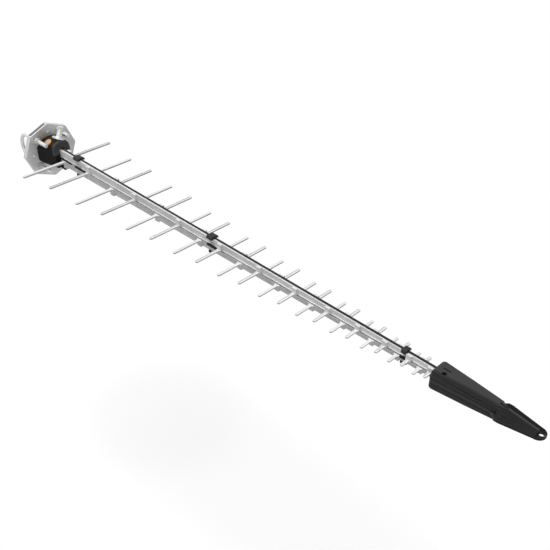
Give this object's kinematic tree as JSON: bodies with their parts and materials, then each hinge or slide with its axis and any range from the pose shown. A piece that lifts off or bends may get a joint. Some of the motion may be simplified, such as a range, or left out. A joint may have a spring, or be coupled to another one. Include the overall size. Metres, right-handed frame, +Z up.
{
  "type": "log periodic antenna",
  "caption": "Directional log periodic antenna: two tapered booms with dipole strips, an octagonal mast clamp plate with U-bolts, a level and a feed housing.",
  "frame": {"origin": "centre of the mast seat, on the antenna's middle plane, where the mast axis passes", "axes": "+X along the booms from the mast to the tip, +Y along the mast and the dipoles, +Z up, away from the cable's side of the booms"},
  "size_m": [1.1993, 0.205, 0.1182],
  "materials": {
    "boom_aluminium": "satin rolled sheet",
    "black_cable": "matte jacket",
    "black_plastic": "moulded, satin",
    "grey_plastic": "moulded, matte",
    "plate_steel": "galvanised sheet, satin",
    "zinc_steel": "bright zinc",
    "orange_plastic": "gloss",
    "clear_vial": "clear pale vial",
    "plated_socket": "nickel plated",
    "dark_screw": "black oxide"
  },
  "bodies": {
    "root": {"upper_boom": "boom_aluminium", "lower_boom": "boom_aluminium", "feed_cable": "black_cable", "cable_clip_1": "black_plastic", "cable_clip_2": "black_plastic", "cable_clip_3": "black_plastic", "boom_spacer_1": "black_plastic", "boom_spacer_2": "black_plastic", "boom_spacer_3": "black_plastic", "clip_button_1": "black_plastic", "clip_button_2": "black_plastic", "clip_button_3": "black_plastic", "mount_plate": "plate_steel", "bracket_rivets": "zinc_steel", "mast_saddle": "zinc_steel", "u_bolt_near": "zinc_steel", "u_bolt_far": "zinc_steel", "u_bolt_washers": "zinc_steel", "u_bolt_nuts": "zinc_steel", "bracket_housing": "black_plastic", "level_ring": "orange_plastic", "level_vial": "clear_vial", "angle_pointer": "orange_plastic", "index_washer": "zinc_steel", "index_sleeve": "zinc_steel", "index_bolt": "zinc_steel", "coax_socket": "plated_socket", "front_housing_upper": "grey_plastic", "front_housing_lower": "grey_plastic", "housing_screw": "dark_screw"}
  },
  "joints": []
}
